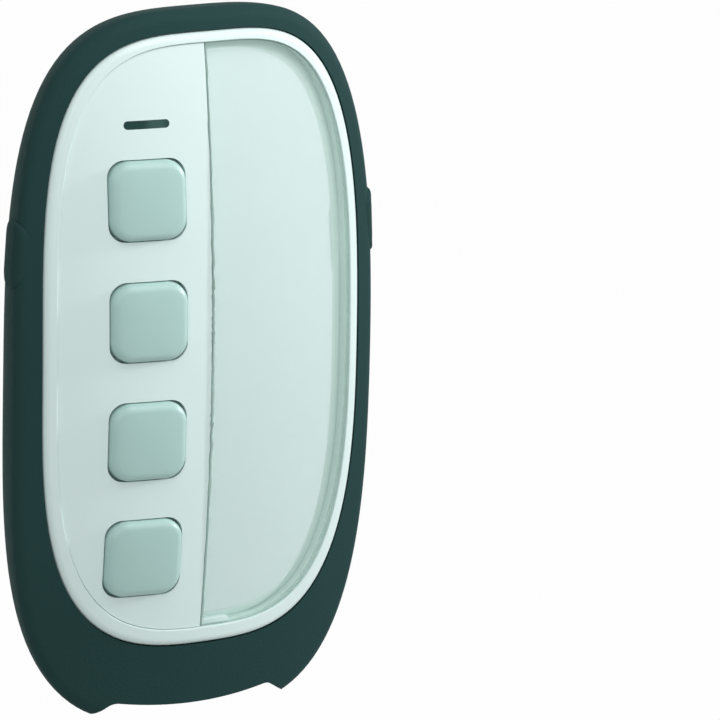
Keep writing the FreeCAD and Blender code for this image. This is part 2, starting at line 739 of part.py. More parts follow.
BOARD_REAR = LEDGE_BACK + " + board_thickness"
board_oval = body_oval.inset(size("board_edge"), size("board_edge"), size("board_lower"))
board_holes = [rod("board_hole_" + place, across, along, "boss_radius + screw_fit", "0", BEHIND)
               for place, across, along in each_boss()]
circuit_board = cut("circuit_board", oval_prism("board_blank", board_oval, LEDGE_BACK, BOARD_REAR), *board_holes)
switches = []
buttons = []
SWITCH_TOP = LEDGE_BACK + " - switch_height"
for number, height in key_places():
    tag = "_%d" % number
    block = box("switch_block" + tag, "key_column - switch_side / 2", "key_column + switch_side / 2", SWITCH_TOP,
                LEDGE_BACK, height + " - switch_side / 2", height + " + switch_side / 2")
    well = rod("switch_well" + tag, "key_column", height, "switch_button_radius + switch_button_fit", "0",
               SWITCH_TOP + " + switch_well")
    switches.append(cut("switch" + tag, block, well))
    buttons.append(rod("switch_button" + tag, "key_column", height, "switch_button_radius", BUTTON_TOP,
                       SWITCH_TOP + " + switch_well - key_travel - screw_fit"))
radio_module = box("radio_module", "5", "19", LEDGE_BACK + " - 2.2", LEDGE_BACK, "24", "36")
controller_chip = box("controller_chip", "4", "11", LEDGE_BACK + " - 1", LEDGE_BACK, "4", "11")
crystal = box("crystal", "13", "17.5", LEDGE_BACK + " - 1.3", LEDGE_BACK, "6", "8.5")
buffer_capacitor = rod("buffer_capacitor", "14", "-18", "2.5", LEDGE_BACK + " - 5", LEDGE_BACK)

CELL_SEAT = BOARD_REAR + " + holder_base"
CELL_FRONT = CELL_SEAT + " + contact_thickness"
CELL_BACK = CELL_FRONT + " + cell_thickness"
holder_cup = rod("holder_cup", "0", "cell_z", "cell_radius + cell_fit + holder_wall", BOARD_REAR,
                 BOARD_REAR + " + holder_rise")
holder_room = rod("holder_room", "0", "cell_z", "cell_radius + cell_fit", CELL_SEAT, BEHIND)
holder_gap = box("holder_gap", "-3.2", "3.2", CELL_SEAT, BEHIND, "cell_z", "cell_z + 2 * cell_radius")
holder_finger = box("holder_finger", "-5", "5", CELL_SEAT, BEHIND, "cell_z - 2 * cell_radius", "cell_z")
cell_holder = cut("cell_holder", holder_cup, holder_room, holder_gap, holder_finger)
coin_cell = rod("coin_cell", "0", "cell_z", "cell_radius", CELL_FRONT, CELL_BACK)
contact_minus = rod("contact_minus", "0", "cell_z", "cell_radius / 2", CELL_SEAT, CELL_FRONT)
clip_top = box("clip_top", "-2.5", "2.5", CELL_BACK, CELL_BACK + " + contact_thickness",
               "cell_z + cell_radius - 3", "cell_z + cell_radius + cell_fit + holder_wall")
clip_leg = box("clip_leg", "-2.5", "2.5", CELL_SEAT, CELL_BACK + " + contact_thickness",
               "cell_z + cell_radius + cell_fit + holder_wall - contact_thickness",
               "cell_z + cell_radius + cell_fit + holder_wall")
contact_plus = fuse("contact_plus", clip_top, clip_leg)

screws = []
for place, across, along in each_boss():
    screws.append(rod("screw_shank_" + place, across, along, "screw_radius", "screw_seat_depth - screw_reach",
                      "screw_seat_depth"))
    screws.append(rod("screw_head_" + place, across, along, "screw_head_radius", "screw_seat_depth",
                      "screw_seat_depth + screw_head_height"))
case_screws = fuse("case_screws", *screws)


# Aerial: a wire bent over the head of the board, with its two ends down in it

def aerial():
    """Bent wire with round section."""
    radius = 0.5
    front = size("ledge_depth") + size("ledge_thickness") - 1.6 - size("body_depth")
    foot = size("ledge_depth") + size("ledge_thickness") - size("body_depth")
    half, z, bend = 13.0, 43.0, 1.2
    points = [FreeCAD.Vector(-half, foot, z), FreeCAD.Vector(-half, front + bend, z),
              FreeCAD.Vector(-half + bend, front, z), FreeCAD.Vector(half - bend, front, z),
              FreeCAD.Vector(half, front + bend, z), FreeCAD.Vector(half, foot, z)]
    turn = bend * (1 - math.sqrt(0.5))
    left = FreeCAD.Vector(-half + turn, front + turn, z)
    right = FreeCAD.Vector(half - turn, front + turn, z)
    path = Part.Wire([Part.LineSegment(points[0], points[1]).toShape(),
                      Part.Arc(points[1], left, points[2]).toShape(),
                      Part.LineSegment(points[2], points[3]).toShape(),
                      Part.Arc(points[3], right, points[4]).toShape(),
                      Part.LineSegment(points[4], points[5]).toShape()])
    ring = Part.Wire(Part.Circle(points[0], FreeCAD.Vector(0, 1, 0), radius).toShape())
    made = doc.addObject("Part::Feature", "aerial")
    made.Shape = path.makePipeShell([ring], True, True)
    return made


aerial_wire = aerial()

NODES = [front_frame, rear_shell, battery_cover, bezel, key_panel, label_card, label_cover, indicator_lens,
         indicator_led, circuit_board, radio_module, controller_chip, crystal, buffer_capacitor, aerial_wire,
         cell_holder, coin_cell, contact_minus, contact_plus, case_screws]
NODES.extend(side_grips)
NODES.extend(key_caps)
NODES.extend(switches)
NODES.extend(buttons)

doc.recompute()
failed = [made.Label for made in doc.Objects if "Invalid" in made.State or "Error" in made.State]
if failed:
    raise RuntimeError("failed objects: " + ", ".join(failed))
for node in NODES:
    if node.Shape.isNull() or not node.Shape.isValid():
        raise RuntimeError("bad shape: " + node.Label)

os.makedirs("parts", exist_ok=True)
for node in NODES:
    node.Shape.exportStep("parts/%s.step" % node.Label)
    print("%-18s solids %d volume %.1f" % (node.Label, len(node.Shape.Solids), node.Shape.Volume))
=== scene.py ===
import math

import bpy
from mathutils import Matrix, Vector


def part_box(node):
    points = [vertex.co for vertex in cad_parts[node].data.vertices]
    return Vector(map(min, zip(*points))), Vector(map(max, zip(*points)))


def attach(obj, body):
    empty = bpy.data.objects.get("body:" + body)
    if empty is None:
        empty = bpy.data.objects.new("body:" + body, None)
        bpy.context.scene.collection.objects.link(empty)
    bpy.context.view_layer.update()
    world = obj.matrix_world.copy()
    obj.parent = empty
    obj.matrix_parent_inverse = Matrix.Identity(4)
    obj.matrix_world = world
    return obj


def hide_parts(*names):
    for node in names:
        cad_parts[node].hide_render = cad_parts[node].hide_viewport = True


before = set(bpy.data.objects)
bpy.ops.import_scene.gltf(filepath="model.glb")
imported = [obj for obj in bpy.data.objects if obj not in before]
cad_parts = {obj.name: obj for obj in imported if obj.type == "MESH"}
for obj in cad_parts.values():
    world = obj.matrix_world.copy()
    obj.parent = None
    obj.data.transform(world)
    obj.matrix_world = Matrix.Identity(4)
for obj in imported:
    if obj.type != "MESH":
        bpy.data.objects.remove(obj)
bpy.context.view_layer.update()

MM = 0.001


# Sizes in millimetres, with a few angles, counts and shares

# Casing
BODY_DEPTH = 19.0
WIDEST_DEPTH = 7.3
BACK_ROUND = 9.2
BACK_TURN = math.radians(75.0)
FRONT_ROUND = 2.2
PARTING_DEPTH = 14.8
PARTING_CHAMFER = 0.18
SEAM_LIP = 1.6
WALL = 1.8
FRAME_RIM_FIT = 0.1
FRAME_OPENING_WALL = 2.4
FRAME_INSIDE = 0.8
FRAME_DROP = 1.0

# Dome of the face and everything laid over it
DOME_ACROSS = 79.8
DOME_ALONG = 330.0
DOME_APEX = -2.3

# Rim, panel, card, cover and tray
RIM_PROUD = 0.35
RIM_ROUND = 1.1
RIM_EDGE = 0.14
RIM_OUTER_WALL = 3.0
RIM_INNER_WALL = 3.2
DIVIDER_X = -1.0
DIVIDER_GAP = 0.3
PANEL_THICKNESS = 1.6
PANEL_FIT = 0.1
COVER_THICKNESS = 1.2
COVER_FIT = 0.15
COVER_BULGE = 0.35
COVER_EDGE = 0.32
COVER_ROUND = 0.16
COVER_EDGE_SHARE = 0.6
CARD_DEPTH = 1.35
CARD_THICKNESS = 0.2
CARD_FIT = 0.15
CARD_SIDE = 0.75
TRAY_DEPTH = 1.58
TRAY_FIT = 0.05
TRAY_LIP = 0.4
TRAY_SIDE = 1.4
TRAY_STEP = 0.995
GROOVE_DEPTH = 2.9
GROOVE_HOLLOW = 1.6
TAB_X = DIVIDER_X + 2.7
TAB_Z = -39.8
TAB_LENGTH = 4.8
TAB_HEIGHT = 0.9
TAB_DEPTH = 0.5
TAB_FOOT = 1.0
TAB_ROUND = 0.12

# Finger notch in the label's edge
NOTCH_Z = 18.4
NOTCH_HALF = 4.2
NOTCH_REACH = 0.8
NOTCH_EASE = 0.3
NOTCH_RAMP = 0.9

# Keys and lamp window
KEYS = 4
KEY_COLUMN = -11.5
KEY_FIRST = 28.0
KEY_PITCH = 18.65
KEY_SIZE = 12.2
KEY_GAP = 0.15
KEY_CORNER = 3.3
KEY_FACE_CORNERS = 20
OPENING_CORNER = 2.7
KEY_PROUD = 1.2
KEY_ROUND = 1.3
KEY_CROWN = 0.2
KEY_BACK = 2.4
KEY_FLANGE = 0.8
KEY_FLANGE_GAP = 0.12
KEY_FLANGE_BACK = 2.5
KEY_STEM = 1.9
KEY_STEM_FRONT = 1.5
LAMP_X = -11.25
LAMP_Z = 39.45
LAMP_LENGTH = 7.3
LAMP_HEIGHT = 1.3
GLOW_X = LAMP_X + 1.6
GLOW_CORE = 0.6
GLOW_REACH = 2.4

# How far cutters reach before and behind what they cut
CUT_FRONT = -3.0
CUT_BACK = 12.0
PAST_BACK = 20.0
CUT_THROUGH = 60.0

# Hatch, case screws and keyholes in the back
HATCH_Z = -6.0
HATCH_WIDTH = 30.0
HATCH_HEIGHT = 34.0
HATCH_CORNER = 3.0
HATCH_FIT = 0.15
HATCH_FLOOR = 16.0
HATCH_FRONT = 17.5
HATCH_EDGE = 0.2
SCOOP_WIDTH = 10.0
SCOOP_HEIGHT = 3.2
SCOOP_DEPTH = 18.25
SCOOP_CORNER = 1.5
SCOOP_DOWN = 4.0
SCREW_X = 22.3
SCREW_Z = 33.0
SCREW_SEAT = 16.2
SCREW_FIT = 0.02
SCREW_WELL = 2.25
SCREW_BOSS = 3.4
SCREW_BOSS_FRONT = 14.9
SCREW_BOSS_BACK = 16.4
SCREW_BOSS_FOOT = 2.5
SCREW_BOSS_END = 17.5
SCREW_HEAD = 2.1
SCREW_HEAD_END = 17.5
SCREW_HEAD_EDGE = 0.35
SCREW_SHANK = 1.1
SCREW_SHANK_LENGTH = 3.4
SCREW_SHANK_LAP = 0.3
RECESS_REACH = 1.25
RECESS_HALF = 0.22
RECESS_DEPTH = 16.8
KEYHOLE_Z = 36.0
KEYHOLE_RISE = 6.0
KEYHOLE_MOUTH = 3.8
KEYHOLE_NECK = 2.1
KEYHOLE_LAP = 0.1
POCKET_HALF_WIDTH = 4.8
POCKET_HALF_HEIGHT = 7.8
POCKET_DEPTH = 15.0
POCKET_CORNER = 2.0
POCKET_WALL = 1.0
POCKET_BACK = 17.4

# Grips in the flanks
GRIP_Z = 20.0
GRIP_DEPTH = 9.6
GRIP_WIDTH = 6.2
GRIP_HEIGHT = 10.2
GRIP_HALF = 1.0
GRIP_FACE_CORNERS = 16
GRIP_CORNER = 2.4
GRIP_EDGE = 0.35
GRIP_PROUD = 0.45

# Notch in the foot
FOOT_X = -0.9
FOOT_HALF = 13.6
FOOT_RISE = 3.1
FOOT_BOW = 1.25
FOOT_FLARE = 11.5
FOOT_ROUND = 0.9
FOOT_STEPS = 23

# Fineness of the shapes
ROUND_STEPS = 192
RINGS = 6
RING_SCALE = 0.8
MERGE_GAP = 0.02
HAIR = 0.01
TOUCH = 0.001
ALMOST = 0.99
FLAT = 0.999
SIDEWAYS = 0.95
BEHIND = 60.0
FAR_BEHIND = 400.0


class Oval:
    """A squared oval seen from the front, with its own power above and below its widest line."""

    def __init__(self, half_width, top, bottom, widest, power_top, power_bottom):
        self.half_width = half_width
        self.top = top
        self.bottom = bottom
        self.widest = widest
        self.power_top = power_top
        self.power_bottom = power_bottom

    def inset(self, side, upper=None, lower=None):
        """The same oval drawn in, by other amounts at its top and bottom if they are given."""
        upper = side if upper is None else upper
        lower = side if lower is None else lower
        return Oval(self.half_width - side, self.top - upper, self.bottom - lower,
                    self.widest, self.power_top, self.power_bottom)

    def at(self, angle):
        """Point of the outline in a direction."""
        across, up = math.cos(angle), math.sin(angle)
        power = self.power_top if up >= 0 else self.power_bottom
        reach = (abs(across) ** power + abs(up) ** power) ** (-1 / power)
        tall = self.top - self.widest if up >= 0 else self.bottom + self.widest
        return self.half_width * reach * across, self.widest + tall * reach * up


BODY = Oval(31.2, 56.1, 56.1, -2.0, 3.35, 3.35)
RIM = Oval(27.55, 52.8, 43.1, 2.6, 3.4, 3.17)
INLAY = RIM.inset(2.0, 1.6, 2.7)
LABEL = INLAY.inset(2.6, 1.7, 1.8)


def beyond(oval, face):
    """Whether a face lies outside an oval."""
    x, z = face.center.x / MM, face.center.z / MM - oval.widest
    power = oval.power_top if z >= 0 else oval.power_bottom
    tall = oval.top - oval.widest if z >= 0 else oval.bottom + oval.widest
    return abs(x / oval.half_width) ** power + abs(z / tall) ** power > 1


def dome(x, z):
    """Depth of the domed face behind its crown."""
    across = DOME_ACROSS - math.sqrt(DOME_ACROSS ** 2 - x ** 2)
    along = DOME_ALONG - math.sqrt(DOME_ALONG ** 2 - (z - DOME_APEX) ** 2)
    return across + along


def point(x, z, depth):
    """Place in metres of a point given by its depth behind the crown."""
    return Vector((x * MM, (depth - BODY_DEPTH) * MM, z * MM))


def flank_inset(depth):
    """How far the flank has drawn in at a depth."""
    if depth <= WIDEST_DEPTH:
        return 0.0
    turn = math.asin(min(1.0, (depth - WIDEST_DEPTH) / (BODY_DEPTH - WIDEST_DEPTH) * math.sin(BACK_TURN)))
    return BACK_ROUND * (1 - math.cos(turn))


# Modelling steps

def only(piece):
    """Makes a piece the only one selected."""
    bpy.ops.object.select_all(action="DESELECT")
    piece.select_set(True)
    bpy.context.view_layer.objects.active = piece


def settle(piece):
    """Applies a piece's place, turn and scale."""
    only(piece)
    bpy.ops.object.transform_apply(location=True, rotation=True, scale=True)


def use(piece, kind, **settings):
    """Adds a modifier and applies it."""
    only(piece)
    made = piece.modifiers.new(kind.title(), kind)
    for key, value in settings.items():
        setattr(made, key, value)
    bpy.ops.object.modifier_apply(modifier=made.name)


def carve(piece, *cutters):
    """Cuts other pieces out of a piece and throws them away."""
    for cutter in cutters:
        use(piece, "BOOLEAN", operation="DIFFERENCE", object=cutter, solver="EXACT")
        bpy.data.objects.remove(cutter, do_unlink=True)


def weld(piece, *others):
    """Makes other pieces one with a piece."""
    for other in others:
        use(piece, "BOOLEAN", operation="UNION", object=other, solver="EXACT")
        bpy.data.objects.remove(other, do_unlink=True)


def round_edges(piece, width, segments):
    """Rounds the sharp edges of a piece."""
    use(piece, "BEVEL", width=width * MM, segments=segments, limit_method="ANGLE",
        angle_limit=math.radians(50))


def smooth(piece, angle=38.0):
    """Shades a piece smooth, apart from edges sharper than an angle."""
    only(piece)
    bpy.ops.object.shade_smooth_by_angle(angle=math.radians(angle))


def banded(name, levels, place, steps=ROUND_STEPS, cap=False, merge=False):
    """A circle extruded level by level, each point then put where place(level, angle) says."""
    bpy.ops.object.select_all(action="DESELECT")
    bpy.ops.mesh.primitive_circle_add(vertices=steps, radius=1.0, fill_type="NGON" if cap else "NOTHING")
    piece = bpy.context.object
    piece.name = name
    bpy.ops.object.mode_set(mode="EDIT")
    bpy.ops.mesh.select_all(action="SELECT")
    if cap:
        bpy.ops.mesh.select_mode(type="EDGE")
        bpy.ops.mesh.select_all(action="SELECT")
    for _ in range(levels - 1):
        bpy.ops.mesh.extrude_edges_move(TRANSFORM_OT_translate={"value": (0, 0, 1)})
    if cap:
        bpy.ops.mesh.edge_face_add()
    bpy.ops.object.mode_set(mode="OBJECT")
    for vertex in piece.data.vertices:
        level = round(vertex.co.z)
        vertex.co = place(level, math.atan2(vertex.co.y, vertex.co.x))
    bpy.ops.object.mode_set(mode="EDIT")
    bpy.ops.mesh.select_all(action="SELECT")
    if merge:
        bpy.ops.mesh.remove_doubles(threshold=MERGE_GAP * MM)
    bpy.ops.mesh.normals_make_consistent(inside=False)
    bpy.ops.object.mode_set(mode="OBJECT")
    piece.data.name = name
    return piece


def outward(piece, centre):
    """Turns the faces of an open shell away from a point."""
    votes = sum((face.center - centre).dot(face.normal) * face.area for face in piece.data.polygons)
    if votes < 0:
        only(piece)
        bpy.ops.object.mode_set(mode="EDIT")
        bpy.ops.mesh.select_all(action="SELECT")
        bpy.ops.mesh.flip_normals()
        bpy.ops.object.mode_set(mode="OBJECT")


def disk(name, oval, sink, rings=44, shape=None):
    """The domed sheet inside an oval, from its edge to its middle."""
    def place(level, angle):
        share = 1 - level / (rings - 1)
        x, z = oval.at(angle)
        if shape:
            x, z = shape(x, z)
        x, z = x * share, oval.widest + (z - oval.widest) * share
        return point(x, z, dome(x, z) + sink)
    piece = banded(name, rings, place, merge=True)
    outward(piece, point(0, 0, FAR_BEHIND))
    return piece


def halve(piece, x, keep_right, fill=False):
    """Keeps what lies to one side of an upright plane."""
    only(piece)
    bpy.ops.object.mode_set(mode="EDIT")
    bpy.ops.mesh.select_all(action="SELECT")
    bpy.ops.mesh.bisect(plane_co=(x * MM, 0, 0), plane_no=(1, 0, 0), clear_inner=keep_right,
                        clear_outer=not keep_right, use_fill=fill)
    bpy.ops.object.mode_set(mode="OBJECT")


def select_edges(piece, test):
    """Selects the edges whose two ends pass a test, in edit mode."""
    only(piece)
    bpy.ops.object.mode_set(mode="EDIT")
    bpy.ops.mesh.select_mode(type="EDGE")
    bpy.ops.mesh.select_all(action="DESELECT")
    bpy.ops.object.mode_set(mode="OBJECT")
    points = piece.data.vertices
    for edge in piece.data.edges:
        ends = [points[number].co for number in edge.vertices]
        edge.select = test(*ends)
    bpy.ops.object.mode_set(mode="EDIT")


def select_faces(piece, test):
    """Selects the faces that pass a test, in edit mode."""
    only(piece)
    bpy.ops.object.mode_set(mode="EDIT")
    bpy.ops.mesh.select_mode(type="FACE")
    bpy.ops.mesh.select_all(action="DESELECT")
    bpy.ops.object.mode_set(mode="OBJECT")
    for face in piece.data.polygons:
        face.select = test(face)
    bpy.ops.object.mode_set(mode="EDIT")


def shrink_face(piece, test, scale):
    """Rings drawn inside one flat face, each a little smaller, so that it can be curved."""
    for _ in range(RINGS):
        select_faces(piece, test)
        bpy.ops.mesh.inset(thickness=0.0)
        bpy.ops.transform.resize(value=scale)
        bpy.ops.object.mode_set(mode="OBJECT")


def rounded_block(name, half_x, half_z, front, back, corner, x=0.0, z=0.0, segments=10):
    """Block through the face with its four corners rounded, between two depths."""
    bpy.ops.object.select_all(action="DESELECT")
    middle = (front + back) / 2
    bpy.ops.mesh.primitive_cube_add(size=1.0, location=point(x, z, middle))
    piece = bpy.context.object
    piece.name = name
    piece.scale = (2 * half_x * MM, (back - front) * MM, 2 * half_z * MM)
    settle(piece)
    if corner > 0:
        select_edges(piece, lambda a, b: abs(a.y - b.y) > (back - front) * MM / 2)
        bpy.ops.mesh.bevel(offset=corner * MM, segments=segments, affect="EDGES")
        bpy.ops.object.mode_set(mode="OBJECT")
    piece.data.name = name
    return piece


def drum(name, x, z, radius, front, back, steps=48):
    """Round bar through the part between two depths."""
    bpy.ops.object.select_all(action="DESELECT")
    bpy.ops.mesh.primitive_cylinder_add(vertices=steps, radius=radius * MM, depth=(back - front) * MM,
                                        location=point(x, z, (front + back) / 2),
                                        rotation=(math.pi / 2, 0, 0))
    piece = bpy.context.object
    piece.name = name
    settle(piece)
    piece.data.name = name
    return piece


def domed(piece):
    """Lays a block that was made flat over the dome."""
    for vertex in piece.data.vertices:
        x, z = vertex.co.x / MM, vertex.co.z / MM
        vertex.co.y += dome(x, z) * MM
    piece.data.update()


# Casing: front frame and rear shell

def foot_cutter(name):
    """Block that cuts the foot notch, its upper face bowed down in the middle."""
    bpy.ops.object.select_all(action="DESELECT")
    bpy.ops.mesh.primitive_cube_add(size=1.0, location=point(0, 0, BODY_DEPTH / 2))
    piece = bpy.context.object
    piece.name = name
    piece.scale = (2 * MM, CUT_THROUGH * MM, 2 * MM)
    settle(piece)
    select_edges(piece, lambda a, b: abs(a.x - b.x) > MM)
    bpy.ops.mesh.subdivide(number_cuts=FOOT_STEPS)
    bpy.ops.object.mode_set(mode="OBJECT")
    low = -BODY.bottom - FOOT_RISE
    rise = -BODY.bottom + FOOT_RISE
    for vertex in piece.data.vertices:
        share = vertex.co.x / MM
        if vertex.co.z > 0:
            vertex.co.x = (FOOT_X + share * FOOT_HALF) * MM
            vertex.co.z = (rise + FOOT_BOW * share ** 2) * MM
        else:
            vertex.co.x = (FOOT_X + share * (FOOT_HALF + FOOT_FLARE)) * MM
            vertex.co.z = low * MM
    select_edges(piece, lambda a, b: abs(a.x - b.x) < TOUCH * MM and a.z > rise * MM and b.z > rise * MM
                 and abs(abs(a.x / MM - FOOT_X) - FOOT_HALF) < HAIR)
    bpy.ops.mesh.bevel(offset=FOOT_ROUND * MM, segments=6, affect="EDGES")
    bpy.ops.object.mode_set(mode="OBJECT")
    return piece


SEAM_LEVELS = 2
FLANK_LEVELS = 10
FILLET_LEVELS = 9
FACE_LEVELS = 12
FRAME_LEVELS = 4


def casing_front_place(level, angle):
    """Section of the front frame from the parting line round to the inlay opening."""
    x0, z0 = BODY.at(angle)
    x1, z1 = BODY.inset(FRONT_ROUND).at(angle)
    gap = math.hypot(x0 - x1, z0 - z1)
    slope = math.atan((dome(x0, z0) - dome(x1, z1)) / gap)
    centre = dome(x1, z1) + FRONT_ROUND / math.cos(slope)
    pulled = flank_inset(centre)
    if level == 0:
        x, z = BODY.inset(flank_inset(PARTING_DEPTH) + SEAM_LIP).at(angle)
        return point(x, z, PARTING_DEPTH - PARTING_CHAMFER / 2)
    if level == 1:
        x, z = BODY.inset(flank_inset(PARTING_DEPTH) + PARTING_CHAMFER).at(angle)
        return point(x, z, PARTING_DEPTH - PARTING_CHAMFER / 2)
    level -= SEAM_LEVELS
    if level < FLANK_LEVELS:
        start = PARTING_DEPTH - PARTING_CHAMFER
        depth = start + (centre - start) * level / FLANK_LEVELS
        x, z = BODY.inset(flank_inset(depth)).at(angle)
        return point(x, z, depth)
    level -= FLANK_LEVELS
    if level < FILLET_LEVELS:
        turn = (math.pi / 2 - slope) * level / (FILLET_LEVELS - 1)
        x, z = BODY.inset(pulled + FRONT_ROUND * (1 - math.cos(turn))).at(angle)
        return point(x, z, centre - FRONT_ROUND * math.sin(turn))
    level -= FILLET_LEVELS
    xa, za = BODY.inset(pulled + FRONT_ROUND * (1 - math.sin(slope))).at(angle)
    xb, zb = RIM.inset(-FRAME_RIM_FIT).at(angle)
    if level < FACE_LEVELS:
        share = (level + 1) / FACE_LEVELS
        x, z = xa + (xb - xa) * share, za + (zb - za) * share
        return point(x, z, dome(x, z))
    level -= FACE_LEVELS
    if level == 0:
        return point(xb, zb, dome(xb, zb) + FRAME_OPENING_WALL)
    if level == 1:
        x, z = RIM.inset(-WALL).at(angle)
        return point(x, z, dome(x, z) + FRAME_OPENING_WALL)
    if level == 2:
        x, z = BODY.inset(WALL + FRAME_INSIDE).at(angle)
        return point(x, z, centre + FRAME_DROP)
    return casing_front_place(0, angle)


front = banded("casing_front", SEAM_LEVELS + FLANK_LEVELS + FILLET_LEVELS + FACE_LEVELS + FRAME_LEVELS,
               casing_front_place, merge=True)

BACK_LEVELS = 11
INSIDE_LEVELS = 4


def casing_back_place(level, angle):
    """Section of the rear shell: its inner wall, its lip and its flank down to the flat back."""
    lip = PARTING_DEPTH + PARTING_CHAMFER / 2
    if level < INSIDE_LEVELS:
        depth = BODY_DEPTH - WALL + (lip - BODY_DEPTH + WALL) * level / (INSIDE_LEVELS - 1)
        x, z = BODY.inset(flank_inset(depth) + WALL).at(angle)
        return point(x, z, depth)
    level -= INSIDE_LEVELS
    if level == 0:
        x, z = BODY.inset(flank_inset(PARTING_DEPTH) + PARTING_CHAMFER).at(angle)
        return point(x, z, lip)
    start = PARTING_DEPTH + PARTING_CHAMFER
    share = (level - 1) / (BACK_LEVELS - 2)
    depth = start + (BODY_DEPTH - start) * math.sin(share * math.pi / 2)
    x, z = BODY.inset(flank_inset(depth)).at(angle)
    return point(x, z, depth)


back = banded("casing_back", INSIDE_LEVELS + BACK_LEVELS, casing_back_place, cap=True)
for shell in (front, back):
    carve(shell, foot_cutter("foot_cutter"))

carve(back, rounded_block("hatch_recess", HATCH_WIDTH / 2 + HATCH_FIT, HATCH_HEIGHT / 2 + HATCH_FIT,
                          HATCH_FLOOR, PAST_BACK, HATCH_CORNER + HATCH_FIT, 0, HATCH_Z))


def keyhole(z):
    """Pocket behind the back wall and the keyhole that leads into it."""
    middle = z + KEYHOLE_RISE / 2
    pocket = rounded_block("keyhole_pocket", POCKET_HALF_WIDTH + POCKET_WALL,
                           POCKET_HALF_HEIGHT + POCKET_WALL, POCKET_DEPTH - POCKET_WALL, POCKET_BACK,
                           POCKET_CORNER + POCKET_WALL, 0, middle)
    carve(pocket, rounded_block("keyhole_room", POCKET_HALF_WIDTH, POCKET_HALF_HEIGHT,
                                POCKET_DEPTH, PAST_BACK, POCKET_CORNER, 0, middle))
    weld(back, pocket)
    start = POCKET_DEPTH + KEYHOLE_LAP
    carve(back, drum("keyhole_mouth", 0, z, KEYHOLE_MOUTH, start, PAST_BACK, 64))
    carve(back, rounded_block("keyhole_neck", KEYHOLE_NECK, KEYHOLE_RISE / 2 + KEYHOLE_NECK,
                              start, PAST_BACK, KEYHOLE_NECK - HAIR, 0, middle))


def screw_well(x, z):
    """Boss for a case screw, slimmer where the flank turns in, with the well for its head."""
    weld(back, drum("screw_boss", x, z, SCREW_BOSS, SCREW_BOSS_FRONT, SCREW_BOSS_BACK),
         drum("screw_boss_foot", x, z, SCREW_BOSS_FOOT, SCREW_SEAT, SCREW_BOSS_END))
    carve(back, drum("screw_well", x, z, SCREW_WELL, SCREW_SEAT, PAST_BACK))


for sign in (-1, 1):
    keyhole(sign * KEYHOLE_Z)
    for side in (-1, 1):
        screw_well(side * SCREW_X, sign * SCREW_Z)
for shell in (front, back):
    smooth(shell)


# Inlay: rim, tray, key panel, label card and cover

RIM_OUTER = 8
RIM_FLAT = 8
RIM_INNER = 4


def rim_place(level, angle):
    """Section of the white rim from its outer wall over its crown to its inner wall."""
    xo, zo = RIM.at(angle)
    xi, zi = INLAY.at(angle)
    width = math.hypot(xo - xi, zo - zi)

    def across(distance):
        share = distance / width
        x, z = xo + (xi - xo) * share, zo + (zi - zo) * share
        return x, z, dome(x, z) - RIM_PROUD
    if level == 0:
        x, z, depth = across(0)
        return point(x, z, depth + RIM_OUTER_WALL)
    level -= 1
    if level < RIM_OUTER:
        turn = math.pi / 2 * level / (RIM_OUTER - 1)
        x, z, depth = across(RIM_ROUND * (1 - math.cos(turn)))
        return point(x, z, depth + RIM_ROUND * (1 - math.sin(turn)))
    level -= RIM_OUTER
    if level < RIM_FLAT:
        near, far = RIM_ROUND, width - RIM_EDGE
        x, z, depth = across(near + (far - near) * (level + 1) / (RIM_FLAT + 1))
        return point(x, z, depth)
    level -= RIM_FLAT
    if level < RIM_INNER:
        turn = math.pi / 2 * level / (RIM_INNER - 1)
        x, z, depth = across(width - RIM_EDGE + RIM_EDGE * math.sin(turn))
        return point(x, z, depth + RIM_EDGE * (1 - math.cos(turn)))
    x, z, depth = across(width)
    return point(x, z, depth + RIM_INNER_WALL)


rim = banded("inlay_rim", 1 + RIM_OUTER + RIM_FLAT + RIM_INNER + 1, rim_place)
outward(rim, point(0, 0, BEHIND))
smooth(rim, 50)


def nail_notch(x, z):
    """Draws the label's edge in where a finger nail lifts the cover."""
    away = abs(z - NOTCH_Z)
    if x <= 0 or away >= NOTCH_HALF + NOTCH_EASE:
        return x, z
    share = min(1.0, max(0.0, (NOTCH_HALF + NOTCH_EASE - away) / NOTCH_RAMP))
    return x - NOTCH_REACH * share * share * (3 - 2 * share), z


TRAY_INNER = 40
COVE_LEVELS = 9


def tray_place(level, angle):
    """Section of the label tray: down the rim, up the groove's hollow slope and over the label field."""
    xo, zo = INLAY.inset(TRAY_FIT).at(angle)
    if level == 0:
        return point(xo, zo, dome(xo, zo) + TRAY_LIP)
    xi, zi = nail_notch(*LABEL.at(angle))
    if level <= COVE_LEVELS:
        share = (level - 1) / (COVE_LEVELS - 1)
        x, z = xo + (xi - xo) * share, zo + (zi - zo) * share
        hollow = (GROOVE_DEPTH - TRAY_DEPTH) * (1 - share) ** GROOVE_HOLLOW
        return point(x, z, dome(x, z) + TRAY_DEPTH + hollow)
    share = (1 - (level - COVE_LEVELS - 1) / (TRAY_INNER - 1)) * TRAY_STEP
    x, z = xi * share, LABEL.widest + (zi - LABEL.widest) * share
    return point(x, z, dome(x, z) + TRAY_DEPTH)


tray = banded("label_tray", 1 + COVE_LEVELS + TRAY_INNER, tray_place, steps=2 * ROUND_STEPS,
              merge=True)
outward(tray, point(0, 0, FAR_BEHIND))
halve(tray, DIVIDER_X - TRAY_SIDE, True)
smooth(tray, 50)

